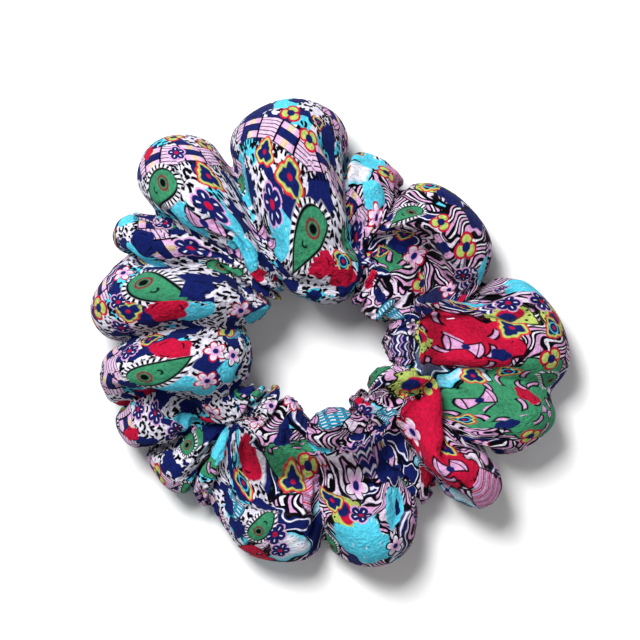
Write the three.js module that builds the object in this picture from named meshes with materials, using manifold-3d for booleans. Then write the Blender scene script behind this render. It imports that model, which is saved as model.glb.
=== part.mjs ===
// A gathered fabric scrunchie: a printed cloth sleeve drawn up on a loop of flat elastic.
//
// The sleeve is one tube of cloth. It gathers into puffs with a crease between each two, and the
// ring opens at the creases when the elastic stretches, so each puff is a solid of its own. The
// elastic and the lengthwise seam's thread run round inside the sleeve, in a channel through the
// puffs, and are divided where the sleeve is. The tube's two ends meet at the closing seam.
//
// Units are millimetres and degrees. +Z is up, the scrunchie lies flat on z = 0, and the origin is
// under the middle of its outline. Angles run anticlockwise from +X about the hair hole's centre.

import * as THREE from 'three';
import { mergeVertices } from 'three/addons/utils/BufferGeometryUtils.js';
import Module from 'manifold-3d';

// ---------------------------------------------------------------- driving dimensions

const RING_CENTRE = { x: -3.614, y: -4.019 }; // the hair hole's centre, a little off the outline's middle

const SEAM_ANGLE = 9; // where the tube's two ends are sewn together
const FULL_TURN = 360;

// The puffs in turn: the angle and outer radius of the crease before each, then its own outer radius,
// inner radius and height. The closing seam is inside the first one.
const PUFFS = [
  { crease: -32, creaseOuter: 49, outer: 62.2, inner: 15.8, height: 30 },
  { crease: 20, creaseOuter: 49, outer: 55.4, inner: 13.4, height: 30 },
  { crease: 58, creaseOuter: 50, outer: 52.0, inner: 12.8, height: 26 },
  { crease: 80, creaseOuter: 48, outer: 61.5, inner: 11.2, height: 31 },
  { crease: 115, creaseOuter: 51, outer: 63.4, inner: 14.6, height: 30 },
  { crease: 140, creaseOuter: 53, outer: 57.2, inner: 14.4, height: 27 },
  { crease: 154, creaseOuter: 53, outer: 55.8, inner: 13.8, height: 30 },
  { crease: 178, creaseOuter: 50, outer: 52.6, inner: 15.4, height: 29 },
  { crease: 197, creaseOuter: 51, outer: 56.0, inner: 16.6, height: 28 },
  { crease: 211, creaseOuter: 53, outer: 54.8, inner: 15.2, height: 28 },
  { crease: 232, creaseOuter: 48, outer: 49.4, inner: 12.2, height: 27 },
  { crease: 245, creaseOuter: 48, outer: 52.6, inner: 12.6, height: 30 },
  { crease: 275, creaseOuter: 51, outer: 54.6, inner: 14.2, height: 30 },
  { crease: 300, creaseOuter: 47, outer: 49.2, inner: 13.8, height: 27 },
  { crease: 309, creaseOuter: 47, outer: 59.0, inner: 13.4, height: 29 },
];

const CREASE_HEIGHT = 0.78; // a crease's height, as a share of its puff's
const CREASE_INNER = 1.5; // how much further out the hole's edge is at a crease
const CREASE_DEPTH = 0.4; // below 0.5, so that a puff is full for most of its width
const PUFF_ROUNDNESS = 0.8; // the power that turns a circle into the puff's fuller section
const FOOT = 1.6; // cloth lower than this is pressed flat on the table
const GAP = 0.5; // between neighbouring puffs, at the elastic's radius

const SEAM_GAP = 1.0; // between the sleeve's two ends, where the closing thread lies
const SEAM_THREAD = 0.4; // diameter of the closing thread
const SEAM_INSET = 1.6; // the closing thread's depth below the cloth's outline

const ELASTIC_RADIUS = 25; // of the loop, to the middle of the band's thickness
const ELASTIC_WIDTH = 6;
const ELASTIC_THICK = 1;
const ELASTIC_Z = 13; // the height of the band's middle
const OVERLAP = { from: -20, to: 7 }; // the stretch where the elastic's two sewn ends lie together
const OVERLAP_STEP = 1.35; // how far outside the first end the second one lies

const TACK = { diameter: 0.4, strokes: 10, span: 16, height: 4.8 }; // zigzag through the elastic's ends
const TACK_CLEAR = 0.5; // from the band's face to the middle of the thread

const LONG_THREAD = { radius: 25.4, z: 9.2, diameter: 0.5 }; // the lengthwise seam's thread

const CHANNEL = { inner: 22.6, outer: 28.8, low: 8.4, high: 17 }; // the way through the puffs

// Mesh fineness.
const PUFF_SIDES = 18;
const PUFF_STEP = 7; // degrees
const BAND_STEP = 8; // degrees
const THREAD_SIDES = 6;
const RING_STEPS = 32;
const STEPS_PER_STROKE = 3;

// ---------------------------------------------------------------- geometry helpers

const wasm = await Module();
wasm.setup();

const { degToRad, radToDeg, lerp } = THREE.MathUtils;

/** A point on the ring, from its angle, its distance from the hole's centre and its height. */
function onRing(angle, radius, z) {
  return [
    RING_CENTRE.x + radius * Math.cos(degToRad(angle)),
    RING_CENTRE.y + radius * Math.sin(degToRad(angle)),
    z,
  ];
}

function solidOf(geometry) {
  return new wasm.Manifold(new wasm.Mesh({
    numProp: 3,
    vertProperties: new Float32Array(geometry.attributes.position.array),
    triVerts: new Uint32Array(geometry.index.array),
  }));
}

/** Moves each vertex of a geometry to place(x, y, z), and turns its faces out if that mirrored it. */
function reshape(geometry, place = (x, y, z) => [x, y, z]) {
  const bare = new THREE.BufferGeometry();
  bare.setIndex(geometry.index);
  bare.setAttribute('position', geometry.attributes.position.clone());
  const p = bare.attributes.position;
  for (let i = 0; i < p.count; i++) p.setXYZ(i, ...place(p.getX(i), p.getY(i), p.getZ(i)));
  const merged = mergeVertices(bare, 1e-4);
  if (solidOf(merged).volume() < 0) {
    const index = merged.index.array;
    for (let i = 0; i < index.length; i += 3) [index[i], index[i + 1]] = [index[i + 1], index[i]];
  }
  return merged;
}

function cut(geometry, tool) {
  const mesh = solidOf(geometry).subtract(solidOf(tool)).getMesh();
  return new THREE.BufferGeometry()
    .setAttribute('position', new THREE.BufferAttribute(mesh.vertProperties, 3))
    .setIndex(new THREE.BufferAttribute(mesh.triVerts, 1));
}

const steps = (from, to, size) => Math.max(1, Math.ceil((to - from) / size));

/** A flat band bent round the ring. Its radius may change from one end to the other. */
function bentBand({ from, to, radius, endRadius = radius, thick, low, high }) {
  const box = new THREE.BoxGeometry(1, 1, 1, 1, steps(from, to, BAND_STEP), 1);
  return reshape(box, (x, y, z) => onRing(
    lerp(from, to, y + 0.5),
    lerp(radius, endRadius, y + 0.5) + x * thick,
    lerp(low, high, z + 0.5),
  ));
}

/** A thread bent round the ring. */
function bentThread({ from, to, radius, z: height, diameter }) {
  const rod = new THREE.CylinderGeometry(0.5, 0.5, 1, THREAD_SIDES, steps(from, to, BAND_STEP));
  return reshape(rod, (x, y, z) => onRing(
    lerp(from, to, y + 0.5),
    radius + x * diameter,
    height + z * diameter,
  ));
}

// ---------------------------------------------------------------- where things are round the ring

const creaseAfter = (i) => (i + 1 < PUFFS.length ? PUFFS[i + 1].crease : PUFFS[0].crease + FULL_TURN);
const creaseOuterAfter = (i) => PUFFS[(i + 1) % PUFFS.length].creaseOuter;
const HALF_GAP = radToDeg(GAP / ELASTIC_RADIUS) / 2;

/** The sleeve's lengths in turn from the closing seam: each puff, with the seam's own in two. */
const LENGTHS = [
  { name: 'start', puff: 0, from: SEAM_ANGLE, to: creaseAfter(0) - HALF_GAP },
  ...PUFFS.slice(1).map((puff, i) => ({
    name: String(i + 1).padStart(2, '0'),
    puff: i + 1,
    from: puff.crease + HALF_GAP,
    to: creaseAfter(i + 1) - HALF_GAP,
  })),
  { name: 'end', puff: 0, from: PUFFS[0].crease + HALF_GAP, to: SEAM_ANGLE },
];

// ---------------------------------------------------------------- the sleeve's puffs

/** The sleeve's section at an angle inside a puff: its reach, and how high it stands. */
function sectionAt(i, angle) {
  const puff = PUFFS[i];
  const along = (angle - puff.crease) / (creaseAfter(i) - puff.crease);
  const fullness = Math.max(0, 1 - (2 * along - 1) ** 2) ** CREASE_DEPTH;
  return {
    inner: puff.inner + CREASE_INNER * (1 - fullness),
    outer: lerp(lerp(puff.creaseOuter, creaseOuterAfter(i), along), puff.outer, fullness),
    height: puff.height * lerp(CREASE_HEIGHT, 1, fullness),
  };
}

/** A point of that section, share of the way out from its middle, in the direction turn. */
function sectionPoint({ inner, outer, height }, turn, share) {
  const full = (v) => Math.sign(v) * Math.abs(v) ** PUFF_ROUNDNESS;
  const radius = (inner + outer) / 2 + share * full(Math.cos(turn)) * (outer - inner) / 2;
  const z = height / 2 + share * full(Math.sin(turn)) * height / 2;
  return { radius, z: z < FOOT ? 0 : z };
}

/** One length of the sleeve, with the elastic's channel through it. */
function puffGeometry({ puff, from, to }) {
  const drum = new THREE.CylinderGeometry(1, 1, 1, PUFF_SIDES, steps(from, to, PUFF_STEP));
  const cloth = reshape(drum, (x, y, z) => {
    const angle = lerp(from, to, y + 0.5);
    const point = sectionPoint(sectionAt(puff, angle), Math.atan2(z, x), Math.hypot(x, z));
    return onRing(angle, point.radius, point.z);
  });
  return cut(cloth, bentBand({
    from: from - 2,
    to: to + 2,
    radius: (CHANNEL.inner + CHANNEL.outer) / 2,
    thick: CHANNEL.outer - CHANNEL.inner,
    low: CHANNEL.low,
    high: CHANNEL.high,
  }));
}

/** The thin upright gap between the sleeve's two ends. */
function seamGap() {
  const reach = 80;
  const slot = new THREE.BoxGeometry(reach, SEAM_GAP, reach).translate(reach / 2, 0, 0);
  return reshape(slot.rotateZ(degToRad(SEAM_ANGLE)).translate(RING_CENTRE.x, RING_CENTRE.y, 0));
}

/** The thread that closes the tube: a loop just under the cloth's outline, between its two ends. */
function closingThreadGeometry() {
  const section = sectionAt(0, SEAM_ANGLE);
  const inset = { ...section, inner: section.inner + SEAM_INSET, outer: section.outer - SEAM_INSET };
  const share = 1 - 2 * SEAM_INSET / section.height;
  const ring = new THREE.TorusGeometry(1, SEAM_THREAD / 2, THREAD_SIDES, RING_STEPS);
  return reshape(ring, (x, y, z) => {
    const turn = Math.atan2(y, x);
    const away = Math.hypot(x, y) - 1;
    const point = sectionPoint(inset, turn, 1);
    const height = section.height / 2 + (point.z - section.height / 2) * share + away * Math.sin(turn);
    const [px, py] = onRing(SEAM_ANGLE, point.radius + away * Math.cos(turn), 0);
    return [px - z * Math.sin(degToRad(SEAM_ANGLE)), py + z * Math.cos(degToRad(SEAM_ANGLE)), height];
  });
}

// ---------------------------------------------------------------- the elastic's sewn ends

/** The zigzag thread across the elastic's two ends, on one face of the join. */
function tackGeometry(radius) {
  const { diameter, strokes, span, height } = TACK;
  const corners = Array.from({ length: strokes + 1 }, (_, i) => new THREE.Vector3(...onRing(
    (OVERLAP.from + OVERLAP.to) / 2 + span * (i / strokes - 0.5),
    radius,
    ELASTIC_Z + (i % 2 ? height : -height) / 2,
  )));
  const tube = new THREE.ExtrudeGeometry(new THREE.Shape().absarc(0, 0, diameter / 2, 0, 2 * Math.PI), {
    extrudePath: new THREE.CatmullRomCurve3(corners, false, 'centripetal'),
    steps: strokes * STEPS_PER_STROKE,
    curveSegments: THREAD_SIDES / 2,
    bevelEnabled: false,
  });
  tube.deleteAttribute('normal');
  tube.deleteAttribute('uv');
  return reshape(mergeVertices(tube, 1e-4));
}

// ---------------------------------------------------------------- materials

const fabric = (color) => new THREE.MeshStandardMaterial({ color, roughness: 0.92, metalness: 0 });
const MATERIALS = {
  crepe: fabric(0xd9d3ea),
  elastic: fabric(0xf1efe8),
  thread: fabric(0xe6e2ee),
};

// ---------------------------------------------------------------- assembly

const scrunchie = new THREE.Group();

function add(name, geometry, material) {
  const mesh = new THREE.Mesh(geometry, MATERIALS[material]);
  mesh.name = name;
  scrunchie.add(mesh);
}

function addSleeve() {
  for (const length of LENGTHS) {
    const cloth = puffGeometry(length);
    const atSeam = length.from === SEAM_ANGLE || length.to === SEAM_ANGLE;
    add(`sleeve_puff_${length.name}`, atSeam ? cut(cloth, seamGap()) : cloth, 'crepe');
  }
}

function addElastic() {
  const outside = ELASTIC_RADIUS + OVERLAP_STEP;
  const band = {
    thick: ELASTIC_THICK,
    low: ELASTIC_Z - ELASTIC_WIDTH / 2,
    high: ELASTIC_Z + ELASTIC_WIDTH / 2,
    radius: ELASTIC_RADIUS,
  };
  for (const { name, from, to } of LENGTHS.slice(0, -1))
    add(`elastic_run_${name}`, bentBand({ ...band, from, to }), 'elastic');

  const { from } = LENGTHS.at(-1);
  const last = { ...band, from, to: OVERLAP.from - HALF_GAP, endRadius: outside };
  add('elastic_run_end', bentBand(last), 'elastic');
  add('elastic_inner_end', bentBand({ ...band, from: OVERLAP.from, to: SEAM_ANGLE - HALF_GAP }), 'elastic');
  add('elastic_outer_end', bentBand({ ...band, ...OVERLAP, radius: outside }), 'elastic');

  const faceToThread = ELASTIC_THICK / 2 + TACK_CLEAR;
  add('elastic_tack_inner', tackGeometry(ELASTIC_RADIUS - faceToThread), 'thread');
  add('elastic_tack_outer', tackGeometry(outside + faceToThread), 'thread');
}

function addSeamThreads() {
  for (const { name, from, to } of LENGTHS)
    add(`long_seam_thread_${name}`, bentThread({
      ...LONG_THREAD,
      from: from === SEAM_ANGLE ? from + HALF_GAP : from,
      to: to === SEAM_ANGLE ? to - HALF_GAP : to,
    }), 'thread');
  add('closing_seam_thread', closingThreadGeometry(), 'thread');
}

addSleeve();
addElastic();
addSeamThreads();

export default scrunchie;
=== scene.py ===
import math
import bmesh
import bpy
import numpy as np
from numpy import roll
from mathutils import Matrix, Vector
from mathutils.bvhtree import BVHTree


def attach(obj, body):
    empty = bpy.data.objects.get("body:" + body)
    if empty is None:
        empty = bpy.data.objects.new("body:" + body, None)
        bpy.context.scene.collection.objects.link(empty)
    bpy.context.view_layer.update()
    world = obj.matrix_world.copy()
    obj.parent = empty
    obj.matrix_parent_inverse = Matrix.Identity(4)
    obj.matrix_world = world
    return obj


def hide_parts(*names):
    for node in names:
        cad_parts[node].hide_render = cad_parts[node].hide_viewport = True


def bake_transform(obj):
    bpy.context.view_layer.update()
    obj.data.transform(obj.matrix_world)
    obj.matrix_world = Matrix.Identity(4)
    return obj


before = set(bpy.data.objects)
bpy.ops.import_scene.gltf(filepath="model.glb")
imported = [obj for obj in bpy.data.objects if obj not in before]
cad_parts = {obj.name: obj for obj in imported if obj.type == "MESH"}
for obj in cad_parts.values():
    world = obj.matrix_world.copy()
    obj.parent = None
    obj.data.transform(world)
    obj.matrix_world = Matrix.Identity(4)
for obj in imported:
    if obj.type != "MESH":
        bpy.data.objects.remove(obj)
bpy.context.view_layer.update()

scene = bpy.context.scene
MM = 0.001
CENTRE = np.array([-3.614, -4.019])  # the hair hole's centre, in mm
SEAM_ANGLE = 9.0


# ---------------- camera, light and floor

def new_object(name, data):
    obj = bpy.data.objects.new(name, data)
    scene.collection.objects.link(obj)
    return obj


def area_light(name, place, size, power):
    """A soft square light that faces the origin."""
    data = bpy.data.lights.new(name, "AREA")
    data.energy, data.size = power, size
    light = new_object(name, data)
    light.location = place
    light.rotation_euler = (-light.location).to_track_quat("-Z", "Y").to_euler()


def make_camera():
    data = bpy.data.cameras.new("camera")
    data.sensor_width, data.lens = 36.0, 209.4
    data.clip_start, data.clip_end = 0.01, 10
    camera = new_object("camera", data)
    camera.location = (-0.00278, 0.00266, 0.915)
    scene.camera = camera


def make_studio():
    world = bpy.data.worlds.new("studio")
    scene.world = world
    world.use_nodes = True
    background = world.node_tree.nodes["Background"]
    background.inputs["Color"].default_value = (1, 1, 1, 1)
    background.inputs["Strength"].default_value = 0.21
    area_light("key", (-0.22, 0.34, 0.62), 0.3, 8.2)
    area_light("fill", (0.45, -0.25, 0.5), 0.5, 0.7)
    scene.view_settings.view_transform = "Standard"
    mesh = bpy.data.meshes.new("floor")
    mesh.from_pydata([(-2, -2, 0), (2, -2, 0), (2, 2, 0), (-2, 2, 0)], [], [(0, 1, 2, 3)])
    floor = new_object("floor", mesh)
    material = bpy.data.materials.new("floor_paper")
    material.use_nodes = True
    shader = material.node_tree.nodes["Principled BSDF"]
    shader.inputs["Base Color"].default_value = (0.97, 0.97, 0.97, 1)
    shader.inputs["Roughness"].default_value = 0.9
    mesh.materials.append(material)


make_camera()
make_studio()


# ---------------- the sleeve's gathers

# Each puff: the crease before it (degrees), how far out that crease and the puff reach,
# how near the hole the puff comes, its height (mm), the crease's angle at the hole,
# how far its top leans round the ring, how much higher or lower it rides, and how
# firmly it keeps its round shape (the left side is smooth, the right side crumpled).
PUFFS = [
    (-32, 50, 65.8, 15.8, 30, -15, 0, 0, 0.14),
    (20, 49, 55.4, 13.4, 30, 22, -5, 2, 0.12),
    (58, 50, 52.0, 12.8, 26, 50, -2, -5, 0.15),
    (80, 48, 61.5, 11.2, 31, 55, 0, 1, 0.30),
    (115, 51, 63.4, 14.6, 30, 119, 2, 2, 0.30),
    (140, 53, 57.2, 14.4, 27, 126, 0, -2, 0.30),
    (154, 53, 55.8, 13.8, 30, 130, 0, 2, 0.30),
    (178, 50, 52.6, 15.4, 29, 162, 1, 1, 0.28),
    (197, 51, 56.0, 16.6, 28, 210, 4, 1, 0.12),
    (211, 53, 54.8, 15.2, 28, 214, 0, -3, 0.10),
    (232, 48, 49.4, 12.2, 27, 219, 2, -3, 0.12),
    (245, 49, 58.6, 12.6, 30, 232, 2, 2, 0.12),
    (275, 52, 61.8, 14.2, 30, 262, 0, 1, 0.12),
    (300, 47, 49.2, 13.8, 27, 300, -2, -3, 0.10),
    (309, 47, 61.5, 13.4, 29, 316, 5, 2, 0.12),
]
CREASE, CREASE_OUTER, OUTER, INNER, HEIGHT, CREASE_AT_HOLE, LEAN, RIDE, FIRM = np.array(PUFFS, float).T
CREASES = np.append(CREASE, CREASE[0] + 360)
WIDTHS = np.diff(CREASES)
ELASTIC_RADIUS, ELASTIC_MIDDLE, ELASTIC_WIDTH, ELASTIC_THICK = 25.0, 13.0, 6.0, 1.0  # mm
ROUND_MM = 96.0  # the flat tube's own girth
# The cloth gathered in each puff: half an ellipse, with the width at the elastic and 10 mm as half axes.
CLOTH_MM = 3.14 * np.sqrt((np.radians(WIDTHS) * ELASTIC_RADIUS) ** 2 / 2 + 10**2 / 2)
LENGTH_MM = float(CLOTH_MM.sum())
CLOTH_AT = np.concatenate([[0], np.cumsum(CLOTH_MM)])
ALONG_STEPS, ROUND_STEPS = ((240, 48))


def lerp(a, b, t):
    return a + (b - a) * t


def seam_start():
    """How much cloth of the first puff lies before the closing seam."""
    share = (SEAM_ANGLE - CREASE[0]) / WIDTHS[0]
    return CLOTH_MM[0] * (math.asin(2 * share - 1) / (math.pi / 2) + 1) / 2


def gathered(s, t):
    """The sleeve pushed into puffs by hand, in mm: s is along the tube, t round it from 0 to 1."""
    s = s % LENGTH_MM
    k = np.clip(np.searchsorted(CLOTH_AT, s, side="right") - 1, 0, len(PUFFS) - 1)
    after = (k + 1) % len(PUFFS)
    turn = (2 * (s - CLOTH_AT[k]) / CLOTH_MM[k] - 1) * math.pi / 2
    full, along = np.abs(np.cos(turn)) ** 0.9, (np.sin(turn) + 1) / 2
    outer = lerp(lerp(CREASE_OUTER[k], CREASE_OUTER[after], along) - 4, OUTER[k], full)
    inner = lerp(INNER[k] + 6, INNER[k], full)
    fold = np.where(k == 0, np.exp(-(((along - 0.4) / 0.06) ** 2)), 0)  # the big puff has a fold of its own
    outer = outer - 7 * fold
    height = HEIGHT[k] * lerp(0.45, 0.95, full) * (1 - 0.22 * fold)
    around = 2 * math.pi * t
    c, n = np.cos(around), np.sin(around)
    r = (inner + outer) / 2 - (outer - inner) / 2 * np.sign(c) * np.abs(c) ** 0.85
    z = 14.5 + height / 2 * np.sign(n) * np.abs(n) ** 0.9
    at_hole = np.append(CREASE_AT_HOLE, 345.0)
    slant = np.clip((48 - r) / 31, 0, 1.15) ** 1.2
    first = CREASES[k] + (at_hole[k] - CREASES[k]) * slant
    last = CREASES[k + 1] + (at_hole[k + 1] - CREASES[k + 1]) * slant
    top = full * np.clip(n, 0, 1)
    angle = first + (last - first) * along + np.degrees(LEAN[k] * top / np.maximum(r, 15))
    z = z + RIDE[k] * top
    chance = np.random.default_rng(5)
    for _ in range(10):
        waves, turns = chance.integers(8, 40), chance.integers(1, 4)
        phase, size = chance.uniform(0, 6.28, 2), chance.normal(0, 1) * 0.2
        z = z + size * np.sin(2 * np.pi * waves * s / LENGTH_MM + phase[0] + turns * around)
        r = r + size * np.cos(2 * np.pi * waves * s / LENGTH_MM + phase[1] - turns * around)
    angle = np.radians(angle)
    return np.stack([CENTRE[0] + r * np.cos(angle), CENTRE[1] + r * np.sin(angle), z], -1)


def tube_faces(rows, cols, closed):
    """Quads of a grid that closes round the tube, and along it too if closed, facing out."""
    index = np.arange(rows * cols).reshape(rows, cols)
    ahead = roll(index, -1, 0) if closed else index[1:]
    here = index if closed else index[:-1]
    return np.stack([here, roll(here, -1, 1), roll(ahead, -1, 1), ahead], -1).reshape(-1, 4)


def collider(name, verts, faces, thickness):
    mesh = bpy.data.meshes.new(name)
    mesh.from_pydata(verts, [], faces)
    obj = new_object(name, mesh)
    obj.modifiers.new("hit", "COLLISION")
    obj.collision.thickness_outer = thickness
    return obj


def draped(s, t, start, scale=20.0, frames=25):
    """Lets the sewn tube settle from its gathered start, in a model scale times bigger than life."""
    rows, cols = s.shape
    unit = scale * MM
    radius = ROUND_MM / (2 * math.pi)
    rest = np.stack([s - s[0, 0], -radius * np.cos(2 * np.pi * t), radius * np.sin(2 * np.pi * t)], -1)
    index = np.arange(rows * cols).reshape(rows, cols)
    sewn = [(int(index[0, j]), int(index[-1, j])) for j in range(cols)]
    mesh = bpy.data.meshes.new("draping")
    mesh.from_pydata((start * unit).reshape(-1, 3).tolist(), sewn, tube_faces(rows, cols, False).tolist())
    tube = new_object("draping", mesh)
    tube.shape_key_add(name="Basis")
    straight = tube.shape_key_add(name="straight")
    straight.data.foreach_set("co", (rest * unit).reshape(-1).astype(np.float32))
    straight.value = 0
    firm = np.interp(s % LENGTH_MM, (CLOTH_AT[:-1] + CLOTH_AT[1:]) / 2, FIRM, period=LENGTH_MM)
    edge = np.minimum(t, 1 - t)
    held = np.where(edge < 0.07, 0.65, np.where(edge > 0.42, np.maximum(firm, 0.22), firm))
    held = np.round(held, 2)
    group = tube.vertex_groups.new(name="held")
    for value in np.unique(held):
        group.add(np.nonzero(held.reshape(-1) == value)[0].tolist(), float(value), "REPLACE")
    modifier = tube.modifiers.new("cloth", "CLOTH")
    cs, cc = modifier.settings, modifier.collision_settings
    cs.quality, cs.mass, cs.air_damping = 6, 0.3, 2.0
    cs.tension_stiffness = cs.compression_stiffness = 15
    cs.shear_stiffness, cs.bending_stiffness, cs.bending_model = 5, 2.5, "ANGULAR"
    cs.tension_damping = cs.compression_damping = cs.shear_damping = 10
    cs.bending_damping = 1
    cs.vertex_group_mass, cs.pin_stiffness, cs.rest_shape_key = "held", 1.0, straight
    cs.use_sewing_springs, cs.sewing_force_max = True, 0
    cc.use_collision, cc.collision_quality, cc.distance_min = True, 3, 0.008
    cc.use_self_collision, cc.self_distance_min, cc.self_friction = True, 0.012, 3
    helpers = [collider("ground", [(-5, -5, 0), (5, -5, 0), (5, 5, 0), (-5, 5, 0)], [(0, 1, 2, 3)], 0.005)]
    around = np.linspace(0, 2 * np.pi, 96, endpoint=False)
    section = ((24.6, 10.2), (25.4, 10.2), (25.4, 15.8), (24.6, 15.8))  # the elastic, a little smaller
    band = [
        ((CENTRE[0] + r * math.cos(a)) * unit, (CENTRE[1] + r * math.sin(a)) * unit, z * unit)
        for a in around for r, z in section
    ]
    helpers.append(collider("band", band, tube_faces(len(around), 4, True).tolist(), 0.004))
    scene.frame_start, scene.frame_end = 1, frames
    modifier.point_cache.frame_end = frames + 5
    for number in range(1, frames + 1):
        scene.frame_set(number)
    shape = tube.evaluated_get(bpy.context.evaluated_depsgraph_get()).to_mesh()
    points = np.empty(len(shape.vertices) * 3, np.float32)
    shape.vertices.foreach_get("co", points)
    for helper in [tube, *helpers]:
        bpy.data.objects.remove(helper)
    scene.frame_set(1)
    points = points.astype(float).reshape(rows, cols, 3) / unit
    points[0] = (points[0] + points[-1]) / 2
    return points[:-1]


def smoothed(p):
    """One round of Catmull-Clark on a grid that closes both ways."""
    q = roll(p, -1, 1)
    face = (p + roll(p, -1, 0) + q + roll(q, -1, 0)) / 4
    down, right = (p + roll(p, -1, 0)) / 2, (p + q) / 2
    edge_down = (down + (face + roll(face, 1, 1)) / 2) / 2
    edge_right = (right + (face + roll(face, 1, 0)) / 2) / 2
    around_face = (face + roll(face, 1, 0) + roll(face, 1, 1) + roll(face, (1, 1), (0, 1))) / 4
    around_edge = (down + roll(down, 1, 0) + right + roll(right, 1, 1)) / 4
    out = np.empty((p.shape[0] * 2, p.shape[1] * 2, 3))
    out[::2, ::2] = (around_face + 2 * around_edge + p) / 4
    out[1::2, ::2], out[::2, 1::2], out[1::2, 1::2] = edge_down, edge_right, face
    return out


def finer_along(p):
    """Twice as many rows along the tube, on the same curves."""
    out = np.empty((p.shape[0] * 2, *p.shape[1:]))
    out[::2] = p
    out[1::2] = (9 * (p + roll(p, -1, 0)) - roll(p, 1, 0) - roll(p, -2, 0)) / 16
    return out


def outward(p):
    """The unit normals of the sleeve's grid, facing out."""
    n = np.cross(roll(p, -1, 1) - roll(p, 1, 1), roll(p, -1, 0) - roll(p, 1, 0))
    return n / np.maximum(np.linalg.norm(n, axis=-1, keepdims=True), 1e-9)


def blurred(a, rounds):
    for _ in range(rounds):
        a = (a + roll(a, 1, 0) + roll(a, -1, 0)) / 3
        a = (a + roll(a, 1, 1) + roll(a, -1, 1)) / 3
    return a


def fine_gathers(p):
    """Where the cloth is still pushed together along the tube, its spare length stands up in gathers
    round the tube, as it does on the elastic. They are finer than the simulated grid."""
    rows, cols = p.shape[:2]
    step = LENGTH_MM / rows
    along = np.linalg.norm(roll(p, -1, 0) - roll(p, 1, 0), axis=-1) / (2 * step)
    tight = np.clip(blurred(along, 5), 0.25, 1.0)
    s = np.arange(rows)[:, None] * step
    turn = 2 * np.pi * np.arange(cols)[None, :] / cols
    wander = np.sin(turn + s / 23) * 0.9 + np.sin(2 * turn - s / 41) * 0.5
    big, small = 6.2, 3.9
    waves = np.sin(2 * np.pi * s / big + wander + 1.3 * np.sin(s / 9.7))
    waves = waves * 0.75 + 0.5 * np.sin(2 * np.pi * s / small - wander * 1.4 + 1.1 * np.sin(s / 6.1))
    under = np.clip(-1.3 * np.sin(turn) - 0.2, 0, 1)  # 1 below, 0 on top and at the rim
    size = tight * big / np.pi * np.sqrt(1 / tight - 1) * (0.7 + 0.35 / tight) * (0.06 + 1.45 * under)
    out, cell = outward(blurred(p, 2)), step * ROUND_MM / cols
    more = np.ones((rows, 1))
    for _ in range(6):  # until each stretch of the tube shows most of the cloth that was sewn into it
        lifted = p + out * np.clip(size * waves * more, -2.8, 2.8)[..., None]
        lifted[..., 2] = np.maximum(lifted[..., 2], 0.2)
        on, round_ = roll(lifted, -1, 0) - lifted, roll(lifted, -1, 1) - lifted
        area = np.linalg.norm(np.cross(on, round_), axis=-1)
        share = area.sum(1, keepdims=True) / (cell * cols)
        for _ in range(60):
            share = (share + roll(share, 1, 0) + roll(share, -1, 0)) / 3
        more = more * np.clip(0.94 / share, 1.0, 1.4)
    return lifted


def eased_rim(p):
    """Evens out the smallest crumples at the hole's rim, where the cloth bends into round fingers."""
    turn = 2 * np.pi * np.arange(p.shape[1]) / p.shape[1]
    share = np.clip((np.cos(turn) - 0.45) / 0.4, 0, 1)[None, :, None]
    even = p
    for _ in range(26):
        even = (even + roll(even, 1, 0) + roll(even, -1, 0)) / 3
    return lerp(p, even, share)


def clear_of_elastic(p):
    """Tents the cloth over and under the elastic, where a crease would press it into the band."""
    cols = p.shape[1]
    turn = (2 * np.pi * np.arange(cols) / cols)[None, :]
    away = p[..., :2] - CENTRE
    r = np.hypot(away[..., 0], away[..., 1])
    drop = 1.3 * np.maximum(np.abs(r - ELASTIC_RADIUS) - 1.2, 0)
    highest_bottom, lowest_top, furthest_rim = 8.0, 17.2, 22.8
    out = p.copy()
    top, bottom = np.sin(turn) > 0.01, np.sin(turn) < -0.01
    out[..., 2] = np.where(top, np.maximum(p[..., 2], lowest_top - drop), out[..., 2])
    out[..., 2] = np.where(bottom, np.minimum(p[..., 2], highest_bottom + drop), out[..., 2])
    rim = (np.cos(turn) > 0.93) & (r > furthest_rim)
    pulled = CENTRE + away * (furthest_rim / np.maximum(r, 1))[..., None]
    out[..., :2] = np.where(rim[..., None], pulled, out[..., :2])
    change = out - p
    return p + blurred(change, 1) * 0.3 + change * 0.7


def sleeve_shape():
    s = seam_start() + np.linspace(0, LENGTH_MM, ALONG_STEPS + 1)
    s, t = np.meshgrid(s, np.arange(ROUND_STEPS) / ROUND_STEPS, indexing="ij")
    start = gathered(s, t)
    points = draped(s, t, start)
    points[..., 2] = np.maximum(points[..., 2], 0.15)  # above the floor
    return clear_of_elastic(fine_gathers(eased_rim(finer_along(smoothed(points)))))


cloth = sleeve_shape()
ROWS, COLS = cloth.shape[:2]
normals = outward(cloth)


# ---------------- the print's motifs, placed on the cloth

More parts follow.
